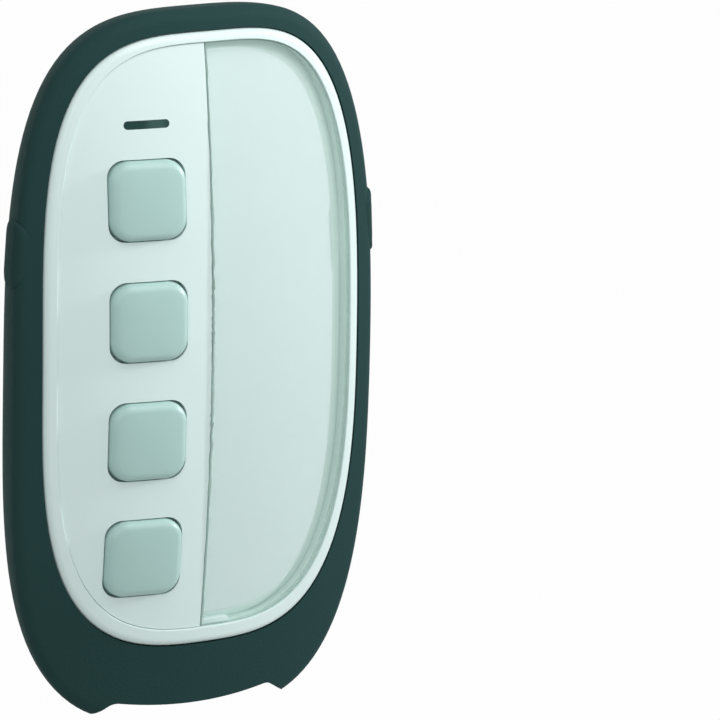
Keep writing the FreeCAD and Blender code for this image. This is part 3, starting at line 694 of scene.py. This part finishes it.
panel = disk("key_panel_face", INLAY.inset(PANEL_FIT), 0)
halve(panel, DIVIDER_X - DIVIDER_GAP / 2, False)
use(panel, "SOLIDIFY", thickness=PANEL_THICKNESS * MM, offset=-1.0)
opening = KEY_SIZE / 2 + KEY_GAP
for number in range(KEYS):
    carve(panel, rounded_block("key_opening", opening, opening, CUT_FRONT, CUT_BACK, OPENING_CORNER,
                               KEY_COLUMN, KEY_FIRST - number * KEY_PITCH))
carve(panel, rounded_block("lamp_opening", LAMP_LENGTH / 2, LAMP_HEIGHT / 2, CUT_FRONT, CUT_BACK,
                           LAMP_HEIGHT / 2 * ALMOST, LAMP_X, LAMP_Z, 8))
smooth(panel, 35)

card = disk("label_card_sheet", LABEL.inset(CARD_FIT), CARD_DEPTH, shape=nail_notch)
halve(card, DIVIDER_X + CARD_SIDE, True)
use(card, "SOLIDIFY", thickness=CARD_THICKNESS * MM, offset=-1.0)
smooth(card, 35)

COVER_RINGS = 36
COVER_TURN = 4


def cover_place(level, angle):
    """Section of the clear cover: out along its underside, up its edge, over the corner and in again."""
    share, sink, inward = 1.0, 0.0, 0.0
    if level < COVER_RINGS:
        share, sink = level / (COVER_RINGS - 1), COVER_THICKNESS
    elif level < COVER_RINGS + COVER_TURN:
        turn = math.pi / 2 * (level - COVER_RINGS) / (COVER_TURN - 1)
        inward, sink = COVER_ROUND * (1 - math.cos(turn)), COVER_ROUND * (1 - math.sin(turn))
    else:
        share = 1 - (level - COVER_RINGS - COVER_TURN) / (COVER_RINGS - 1)
        inward = COVER_EDGE
    x, z = INLAY.inset(COVER_FIT + inward).at(angle)
    x, z = x * share, INLAY.widest + (z - INLAY.widest) * share
    rise = (z - INLAY.widest) / (INLAY.top - INLAY.widest)
    return point(x, z, dome(x, z) + sink - COVER_BULGE * max(0.0, 1 - rise * rise))


cover = banded("label_window", 2 * COVER_RINGS + COVER_TURN, cover_place, merge=True)
halve(cover, DIVIDER_X + DIVIDER_GAP / 2, True, fill=True)
smooth(cover, 35)

tab = rounded_block("cover_tab", TAB_LENGTH / 2, TAB_HEIGHT / 2, TAB_DEPTH, TRAY_DEPTH + TAB_FOOT,
                    TAB_ROUND, TAB_X, TAB_Z, 3)
round_edges(tab, TAB_ROUND, 2)
domed(tab)
smooth(tab, 40)


# Keys: rounded squares with a soft edge, laid over the dome

def key_cap(number):
    """Square key with a soft edge, a flange that keeps it behind the panel and a stem to its switch."""
    height = KEY_FIRST - (number - 1) * KEY_PITCH
    half = KEY_SIZE / 2
    piece = rounded_block("key_%d_cap" % number, half, half, -KEY_PROUD, KEY_BACK, KEY_CORNER,
                          KEY_COLUMN, height, 12)
    front_y = point(0, 0, -KEY_PROUD).y
    select_edges(piece, lambda a, b: abs(a.y - front_y) < TOUCH * MM and abs(b.y - front_y) < TOUCH * MM)
    bpy.ops.mesh.bevel(offset=KEY_ROUND * MM, segments=8, affect="EDGES")
    bpy.ops.object.mode_set(mode="OBJECT")
    shrink_face(piece, lambda face: face.normal.y < -FLAT and len(face.vertices) > KEY_FACE_CORNERS,
                (RING_SCALE, 1.0, RING_SCALE))
    for vertex in piece.data.vertices:
        if vertex.co.y < point(0, 0, 0).y:
            away = ((vertex.co.x / MM - KEY_COLUMN) ** 2 + (vertex.co.z / MM - height) ** 2) / half ** 2
            vertex.co.y -= KEY_CROWN * max(0.0, 1 - away) * MM
    weld(piece, rounded_block("key_flange", half + KEY_FLANGE, half + KEY_FLANGE,
                              PANEL_THICKNESS + KEY_FLANGE_GAP, KEY_FLANGE_BACK,
                              KEY_CORNER + KEY_FLANGE, KEY_COLUMN, height, 12))
    domed(piece)
    stem_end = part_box("key_cap_%d" % number)[1][1] / MM + BODY_DEPTH
    weld(piece, drum("key_stem", KEY_COLUMN, height, KEY_STEM,
                     dome(KEY_COLUMN, height) + KEY_STEM_FRONT, stem_end))
    smooth(piece, 60)
    return piece


caps = {number: key_cap(number) for number in range(1, KEYS + 1)}


# Side grips: soft pads that follow the flank

def side_grip(name, side):
    """Pad with rounded corners and edges, its outer face a little proud of the flank."""
    bpy.ops.object.select_all(action="DESELECT")
    bpy.ops.mesh.primitive_cube_add(size=1.0, location=point(0, GRIP_Z, GRIP_DEPTH))
    piece = bpy.context.object
    piece.name = name
    piece.scale = (2 * GRIP_HALF * MM, GRIP_WIDTH * MM, GRIP_HEIGHT * MM)
    settle(piece)
    select_edges(piece, lambda a, b: abs(a.x - b.x) > GRIP_HALF * MM)
    bpy.ops.mesh.bevel(offset=GRIP_CORNER * MM, segments=8, affect="EDGES")
    bpy.ops.object.mode_set(mode="OBJECT")
    outer = GRIP_HALF * (1 - HAIR) * MM
    select_edges(piece, lambda a, b: a.x * side > outer and b.x * side > outer)
    bpy.ops.mesh.bevel(offset=GRIP_EDGE * MM, segments=4, affect="EDGES")
    bpy.ops.object.mode_set(mode="OBJECT")
    shrink_face(piece, lambda face: face.normal.x * side > FLAT
                and len(face.vertices) > GRIP_FACE_CORNERS,
                (1.0, RING_SCALE, RING_SCALE))
    turn_depth = dome(BODY.half_width - FRONT_ROUND, GRIP_Z) + FRONT_ROUND
    for vertex in piece.data.vertices:
        depth = vertex.co.y / MM + BODY_DEPTH
        inset = flank_inset(depth)
        if depth < turn_depth:
            turned = min(FRONT_ROUND, turn_depth - depth)
            inset += FRONT_ROUND - math.sqrt(FRONT_ROUND ** 2 - turned ** 2)
        drawn = BODY.inset(inset)
        share = abs(vertex.co.z / MM - drawn.widest) / (drawn.top - drawn.widest)
        reach = drawn.half_width * (1 - share ** drawn.power_top) ** (1 / drawn.power_top)
        vertex.co.x += side * (reach - GRIP_HALF + GRIP_PROUD) * MM
    piece.data.name = name
    piece.data.update()
    smooth(piece, 50)
    return piece


grips = {"left": side_grip("left_grip_pad", -1), "right": side_grip("right_grip_pad", 1)}


# Back: battery hatch and case screws

hatch = rounded_block("battery_hatch", HATCH_WIDTH / 2, HATCH_HEIGHT / 2, HATCH_FRONT, BODY_DEPTH,
                      HATCH_CORNER, 0, HATCH_Z)
round_edges(hatch, HATCH_EDGE, 3)
carve(hatch, rounded_block("finger_scoop", SCOOP_WIDTH / 2, SCOOP_HEIGHT / 2, SCOOP_DEPTH, PAST_BACK,
                           SCOOP_CORNER, 0, HATCH_Z + HATCH_HEIGHT / 2 - SCOOP_DOWN))
smooth(hatch, 40)


def screw_head(x, z):
    """Pan head with a cross recess, and its shank."""
    piece = drum("screw_head", x, z, SCREW_HEAD, SCREW_SEAT + SCREW_FIT, SCREW_HEAD_END)
    round_edges(piece, SCREW_HEAD_EDGE, 4)
    carve(piece, rounded_block("recess_a", RECESS_REACH, RECESS_HALF, RECESS_DEPTH, PAST_BACK, 0, x, z),
          rounded_block("recess_b", RECESS_HALF, RECESS_REACH, RECESS_DEPTH, PAST_BACK, 0, x, z))
    weld(piece, drum("screw_shank", x, z, SCREW_SHANK, SCREW_SEAT - SCREW_SHANK_LENGTH,
                     SCREW_SEAT + SCREW_SHANK_LAP, 24))
    smooth(piece, 40)
    return piece


heads = [screw_head(side * SCREW_X, sign * SCREW_Z) for side in (-1, 1) for sign in (-1, 1)]
only(heads[0])
for head in heads:
    head.select_set(True)
bpy.ops.object.join()
screws = bpy.context.object
screws.name = "screw_heads"


# Finishes

MIX_FACTOR, MIX_FIRST, MIX_SECOND, MIX_RESULT = 0, 6, 7, 2


class Reading:
    """A socket that takes arithmetic."""

    def __init__(self, nodes, socket):
        self.nodes = nodes
        self.socket = socket

    def _math(self, operation, first, second):
        return self.nodes.node("ShaderNodeMath", {"operation": operation}, {0: first, 1: second})

    def __sub__(self, other):
        return self._math("SUBTRACT", self, other)

    def __rsub__(self, other):
        return self._math("SUBTRACT", other, self)

    def __mul__(self, other):
        return self._math("MULTIPLY", self, other)

    def __rmul__(self, other):
        return self._math("MULTIPLY", other, self)


class Nodes:
    """The nodes of one tree."""

    def __init__(self, tree):
        self.tree = tree

    def node(self, kind, settings=None, inputs=None, output=0):
        """Makes a node: its settings first, then the values or links of its sockets."""
        made = self.tree.nodes.new(kind)
        for key, value in (settings or {}).items():
            setattr(made, key, value)
        for key, value in (inputs or {}).items():
            self.feed(made.inputs[key], value)
        return Reading(self, made.outputs[output])

    def feed(self, socket, value):
        """Links a reading to a socket or sets it to a plain value."""
        if isinstance(value, Reading):
            self.tree.links.new(value.socket, socket)
        else:
            socket.default_value = value


class Finish(Nodes):
    """A material with its shader and its nodes."""

    def __init__(self, name, **shader):
        self.material = bpy.data.materials.new(name)
        self.material.use_nodes = True
        super().__init__(self.material.node_tree)
        self.shader = self.tree.nodes["Principled BSDF"]
        for key, value in shader.items():
            self.shader.inputs[key.replace("_", " ")].default_value = value
        self.place = self.node("ShaderNodeTexCoord", output="Object")

    def set(self, name, value):
        """Feeds an input of the shader."""
        self.feed(self.shader.inputs[name], value)

    def noise(self, scale, detail=3.0, roughness=0.5):
        """Noise over the piece."""
        return self.node("ShaderNodeTexNoise", None,
                         {"Vector": self.place, "Scale": scale, "Detail": detail, "Roughness": roughness})

    def blend(self, share, first, second):
        """A colour between two."""
        return self.node("ShaderNodeMix", {"data_type": "RGBA"},
                         {MIX_FACTOR: share, MIX_FIRST: first, MIX_SECOND: second}, MIX_RESULT)

    def bump(self, height, distance):
        """Normal of a surface raised by a height."""
        return self.node("ShaderNodeBump", None, {"Height": height, "Distance": distance, "Strength": 1.0})

    def spread(self, value, low, high):
        """A noise value stretched from its usual middle band to a range."""
        return self.node("ShaderNodeMapRange", None,
                         {"Value": value, "From Min": 0.3, "From Max": 0.7, "To Min": low, "To Max": high})


def tone(red, green, blue, alpha=1.0):
    """Colour from its screen values."""
    def plain(value):
        value /= 255
        return value / 12.92 if value <= 0.04045 else ((value + 0.055) / 1.055) ** 2.4
    return plain(red), plain(green), plain(blue), alpha


def plastic(name, light, dark, rough, grain, depth, coat=0.0, **shader):
    """Moulded plastic: a slight drift of tone, an uneven gloss and a fine grain."""
    made = Finish(name, **shader)
    drift = made.spread(made.noise(scale=24.0, detail=5.0), 0.0, 1.0)
    made.set("Base Color", made.blend(drift, dark, light))
    made.set("Roughness", made.spread(made.noise(scale=900.0), rough[0], rough[1]))
    made.set("Normal", made.bump(made.noise(scale=grain, detail=2.0), depth))
    if coat:
        made.set("Coat Weight", coat)
        made.set("Coat Roughness", 0.26)
    return made


def clear(name, light, dark, alpha, rough):
    """Clear plastic: a little milk in it, under a gloss that stays even."""
    made = Finish(name, Coat_Weight=0.8, Coat_Roughness=0.22)
    made.set("Base Color", made.blend(made.spread(made.noise(scale=40.0), 0, 1), dark, light))
    made.set("Roughness", made.spread(made.noise(scale=200.0), rough, rough + 0.05))
    made.set("Alpha", made.spread(made.noise(scale=30.0), alpha - 0.01, alpha + 0.01))
    return made


def metal(name, light, dark, rough, scale):
    """Plated metal: a slight drift of tone, an uneven gloss and a fine grain."""
    made = Finish(name, Metallic=1.0)
    made.set("Base Color", made.blend(made.spread(made.noise(scale=120.0), 0, 1), dark, light))
    made.set("Roughness", made.spread(made.noise(scale=scale, detail=5.0), rough[0], rough[1]))
    made.set("Normal", made.bump(made.noise(scale=scale * 2), 0.00001))
    return made


casing_finish = plastic("casing_soft_plastic", tone(37, 63, 62), tone(35, 61, 60), (0.58, 0.66),
                        grain=2600.0, depth=0.00004, Specular_IOR_Level=0.04)
rim_finish = plastic("inlay_white_plastic", tone(210, 226, 224), tone(208, 224, 222), (0.38, 0.44),
                     grain=1800.0, depth=0.000006, coat=0.3)
# Painted light: the same white plastic as the rim, given a paler tone to make up for the shade that falls
# in the groove round the label. It is also laid on the cover's left cut wall as a painted highlight of that
# edge.
painted_light_white_finish = plastic("white_plastic_painted_light", tone(222, 240, 234), tone(218, 236, 230), (0.4, 0.5),
                        grain=1400.0, depth=0.00001)
key_finish = plastic("key_grey_plastic", tone(164, 194, 189), tone(162, 192, 187), (0.44, 0.5),
                     grain=1800.0, depth=0.000008, coat=0.25)
grip_finish = plastic("grip_rubber", tone(38, 63, 62), tone(35, 60, 59), (0.62, 0.72),
                      grain=3200.0, depth=0.00005, Specular_IOR_Level=0.04)
black_finish = plastic("switch_black_plastic", tone(34, 35, 36), tone(28, 29, 30), (0.45, 0.55),
                       grain=1600.0, depth=0.00002)
button_finish = plastic("switch_button_plastic", tone(214, 212, 206), tone(205, 203, 198), (0.4, 0.5),
                        grain=1600.0, depth=0.00002)
led_finish = plastic("led_milky_plastic", tone(226, 230, 214), tone(214, 218, 203), (0.3, 0.4),
                     grain=1600.0, depth=0.00001)
chip_finish = plastic("chip_black_epoxy", tone(38, 38, 40), tone(30, 30, 32), (0.5, 0.6),
                      grain=2400.0, depth=0.00003)
capacitor_finish = plastic("capacitor_ceramic", tone(176, 140, 98), tone(162, 126, 86), (0.5, 0.6),
                           grain=1800.0, depth=0.00002)
board_finish = plastic("board_solder_mask", tone(26, 92, 58), tone(20, 82, 50), (0.3, 0.42),
                       grain=900.0, depth=0.00003)

card_finish = Finish("label_card_paper")
fibre = card_finish.noise(scale=900.0, detail=6.0, roughness=0.6)
card_finish.set("Base Color", card_finish.blend(card_finish.spread(fibre, 0, 1), tone(206, 221, 219),
                                                tone(211, 225, 223)))
card_finish.set("Roughness", card_finish.spread(fibre, 0.7, 0.85))
card_finish.set("Normal", card_finish.bump(fibre, 0.00002))

cover_finish = clear("cover_clear_plastic", tone(212, 229, 227), tone(206, 224, 222), alpha=0.14, rough=0.1)
# The cover's edge is partly the denser look of clear plastic seen edge-on and partly a painted highlight: a
# less clear, whitish milk that shows as the light line along the edge.
cover_edge_painted_highlight_finish = clear("cover_edge_plastic_painted_highlight", tone(190, 216, 209), tone(184, 210, 203), alpha=0.45,
                          rough=0.2)

lens_finish = Finish("lamp_smoked_lens", Specular_IOR_Level=0.12)
across = lens_finish.node("ShaderNodeSeparateXYZ", None, {"Vector": lens_finish.place})
from_glow = lens_finish.node("ShaderNodeMath", {"operation": "ABSOLUTE"}, {0: across - GLOW_X * MM})
glow = lens_finish.node("ShaderNodeMapRange", {"interpolation_type": "SMOOTHSTEP"},
                        {"Value": from_glow, "From Min": GLOW_REACH * MM, "From Max": GLOW_CORE * MM,
                         "To Min": 0.0, "To Max": 1.0})
lens_finish.set("Base Color", lens_finish.blend(glow, tone(32, 60, 57), tone(54, 82, 78)))
lens_finish.set("Roughness", lens_finish.spread(lens_finish.noise(scale=400.0), 0.16, 0.24))

can_finish = metal("shield_tinned_steel", tone(196, 198, 196), tone(182, 184, 182), (0.28, 0.42), 500.0)
cell_finish = metal("cell_nickel_steel", tone(206, 206, 203), tone(200, 200, 197), (0.27, 0.31), 700.0)
contact_finish = metal("contact_nickel", tone(212, 208, 196), tone(205, 201, 189), (0.27, 0.31), 700.0)
screw_finish = metal("screw_zinc_steel", tone(172, 173, 174), tone(152, 153, 155), (0.28, 0.42), 900.0)
wire_finish = metal("aerial_copper", tone(196, 128, 84), tone(178, 112, 70), (0.25, 0.38), 600.0)


# Dressing: each piece gets its finish and its body, and the nodes it stands for are hidden

def dress(piece, finish):
    """Gives a piece one finish."""
    piece.data.materials.clear()
    piece.data.materials.append(finish.material)


def fit(piece, finish, body, slot, *nodes):
    """Dresses a piece, hangs it on its body and lets it stand for its nodes."""
    dress(piece, finish)
    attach(piece, body)
    if nodes:
        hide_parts(*nodes)


fit(front, casing_finish, "casing", "casing", "front_frame")
fit(back, casing_finish, "casing", "casing", "rear_shell")
fit(rim, rim_finish, "casing", "inlay_white", "bezel")
fit(tray, rim_finish, "casing", "inlay_white")
fit(panel, rim_finish, "casing", "inlay_white", "key_panel")
fit(tab, rim_finish, "casing", "inlay_white")
fit(card, card_finish, "casing", "card", "label_card")
fit(cover, cover_finish, "label_cover", "clear_cover", "label_cover")
fit(hatch, casing_finish, "battery_cover", "casing", "battery_cover")
fit(screws, screw_finish, "casing", "screw_steel", "case_screws")
for number, cap in caps.items():
    fit(cap, key_finish, "key_%d" % number, "key_plastic", "key_cap_%d" % number)
for side, pad in grips.items():
    fit(pad, grip_finish, "casing", "grip", "side_grip_" + side)

# Painted light: the groove between the rim and the label takes the paler copy of the white plastic, to make
# up for its shade.
tray.data.materials.append(painted_light_white_finish.material)
for face in tray.data.polygons:
    if beyond(LABEL, face):
        face.material_index = 1
# Painted highlight: the cover's rounded outer edge takes the denser edge milk, and its left cut wall takes
# the opaque, paler painted-light white, a painted highlight for that edge.
cover.data.materials.append(cover_edge_painted_highlight_finish.material)
cover.data.materials.append(painted_light_white_finish.material)
for face in cover.data.polygons:
    if beyond(INLAY.inset(COVER_FIT + COVER_ROUND * COVER_EDGE_SHARE), face):
        face.material_index = 1
    elif face.normal.x < -SIDEWAYS:
        face.material_index = 2

NODE_FINISH = {
    "indicator_lens": lens_finish, "indicator_led": led_finish, "circuit_board": board_finish,
    "radio_module": can_finish, "controller_chip": chip_finish, "crystal": can_finish,
    "buffer_capacitor": capacitor_finish, "aerial": wire_finish, "cell_holder": black_finish,
    "coin_cell": cell_finish, "contact_minus": contact_finish, "contact_plus": contact_finish,
}
for number in range(1, KEYS + 1):
    NODE_FINISH["switch_%d" % number] = black_finish
    NODE_FINISH["switch_button_%d" % number] = button_finish
for node, finish in NODE_FINISH.items():
    dress(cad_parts[node], finish)


# Studio: pale floor, white surroundings and four soft lamps

WHITE = (1, 1, 1, 1)
FLOOR_HEIGHT = -0.16
FLOOR_TONE = (0.6, 0.6, 0.6, 1)
FLOOR_ROUGH = 0.9
FLOOR_WHITE = 0.98
ROOM_TONE = (0.9, 1.0, 0.985, 1)
ROOM_STRENGTH = 0.42


def camera_white(tree, lit, white, end, level):
    """Shows plain white to the camera, in gloss and through clear pieces, and a lit shader elsewhere."""
    nodes = Nodes(tree)
    camera_ray, glossy_ray, clear_ray = [nodes.node("ShaderNodeLightPath", output="Is %s Ray" % ray)
                                         for ray in ("Camera", "Glossy", "Transmission")]
    seen = nodes.node("ShaderNodeMath", {"operation": "MAXIMUM"}, {0: glossy_ray, 1: clear_ray})
    seen = nodes.node("ShaderNodeMath", {"operation": "MAXIMUM"}, {0: camera_ray, 1: seen})
    plain = nodes.node(white, None, {"Color": WHITE, "Strength": 1.0})
    shown = nodes.node("ShaderNodeMixShader", None,
                       {0: seen * level, 1: Reading(nodes, lit.outputs[0]), 2: plain})
    nodes.feed(end.inputs["Surface"], shown)


world = bpy.data.worlds.new("studio")
bpy.context.scene.world = world
world.use_nodes = True
room = world.node_tree.nodes
room["Background"].inputs["Color"].default_value = ROOM_TONE
room["Background"].inputs["Strength"].default_value = ROOM_STRENGTH
camera_white(world.node_tree, room["Background"], "ShaderNodeBackground", room["World Output"], 1.0)

bpy.ops.object.select_all(action="DESELECT")
bpy.ops.mesh.primitive_plane_add(size=6.0, location=(0, 0, FLOOR_HEIGHT))
floor = bpy.context.object
floor.name = "studio_floor"
paint = bpy.data.materials.new("studio_floor_paint")
paint.use_nodes = True
ground = paint.node_tree.nodes
ground["Principled BSDF"].inputs["Base Color"].default_value = FLOOR_TONE
ground["Principled BSDF"].inputs["Roughness"].default_value = FLOOR_ROUGH
camera_white(paint.node_tree, ground["Principled BSDF"], "ShaderNodeEmission", ground["Material Output"],
             FLOOR_WHITE)
floor.data.materials.append(paint)


def lamp(name, place, aim, size, power):
    """Soft lamp of a width and height at a place, turned to a point."""
    light = bpy.data.lights.new(name, "AREA")
    light.shape = "RECTANGLE"
    light.size, light.size_y = size
    light.energy = power
    holder = bpy.data.objects.new(name, light)
    bpy.context.collection.objects.link(holder)
    holder.location = place
    holder.rotation_euler = (Vector(aim) - Vector(place)).to_track_quat("-Z", "Y").to_euler()


lamp("front_box", (0.26, -0.72, 0.46), (0.0, 0.0, 0.0), (0.7, 0.5), 1.1)
lamp("top_lamp", (0.0, -0.125, 0.2), (0.0, 0.0, 0.03), (0.12, 0.12), 0.165)
lamp("side_lamp", (1.26, -0.43, 0.42), (0.0, 0.0, 0.0), (0.14, 0.14), 12.5)
lamp("left_fill", (-0.45, -0.5, 0.32), (0.0, 0.0, 0.0), (0.4, 0.4), 1.15)


# Camera at the photograph's angle

VIEW_TURN = math.radians(29.369)
VIEW_RISE = math.radians(14.328)
VIEW_ROLL = math.radians(1.124)
VIEW_DISTANCE = 0.95987
FOCAL_PIXELS = 6283.0
FRAME_PIXELS = 720.0
AIM = Vector((0.0, -19.0, -2.05)) * MM
AIM_PIXEL = (217.83, 388.75)

away = Vector((-math.sin(VIEW_TURN) * math.cos(VIEW_RISE), -math.cos(VIEW_TURN) * math.cos(VIEW_RISE),
               math.sin(VIEW_RISE)))
ahead = -away
right = Vector((math.cos(VIEW_TURN), -math.sin(VIEW_TURN), 0))
up = right.cross(ahead)
right, up = (right * math.cos(VIEW_ROLL) + up * math.sin(VIEW_ROLL),
             up * math.cos(VIEW_ROLL) - right * math.sin(VIEW_ROLL))
yaw = math.atan((FRAME_PIXELS / 2 - AIM_PIXEL[0]) / FOCAL_PIXELS)
ahead, right = ahead * math.cos(yaw) + right * math.sin(yaw), right * math.cos(yaw) - ahead * math.sin(yaw)
pitch = math.atan((AIM_PIXEL[1] - FRAME_PIXELS / 2) / FOCAL_PIXELS)
ahead, up = ahead * math.cos(pitch) + up * math.sin(pitch), up * math.cos(pitch) - ahead * math.sin(pitch)

lens = bpy.data.cameras.new("photo_camera")
lens.sensor_width = 36.0
lens.lens = FOCAL_PIXELS / FRAME_PIXELS * lens.sensor_width
lens.clip_start = 0.01
camera = bpy.data.objects.new("photo_camera", lens)
bpy.context.collection.objects.link(camera)
turned = Matrix((right, up, -ahead)).transposed().to_4x4()
turned.translation = AIM + away * VIEW_DISTANCE
camera.matrix_world = turned
bpy.context.scene.camera = camera
bpy.context.scene.view_settings.view_transform = "Standard"
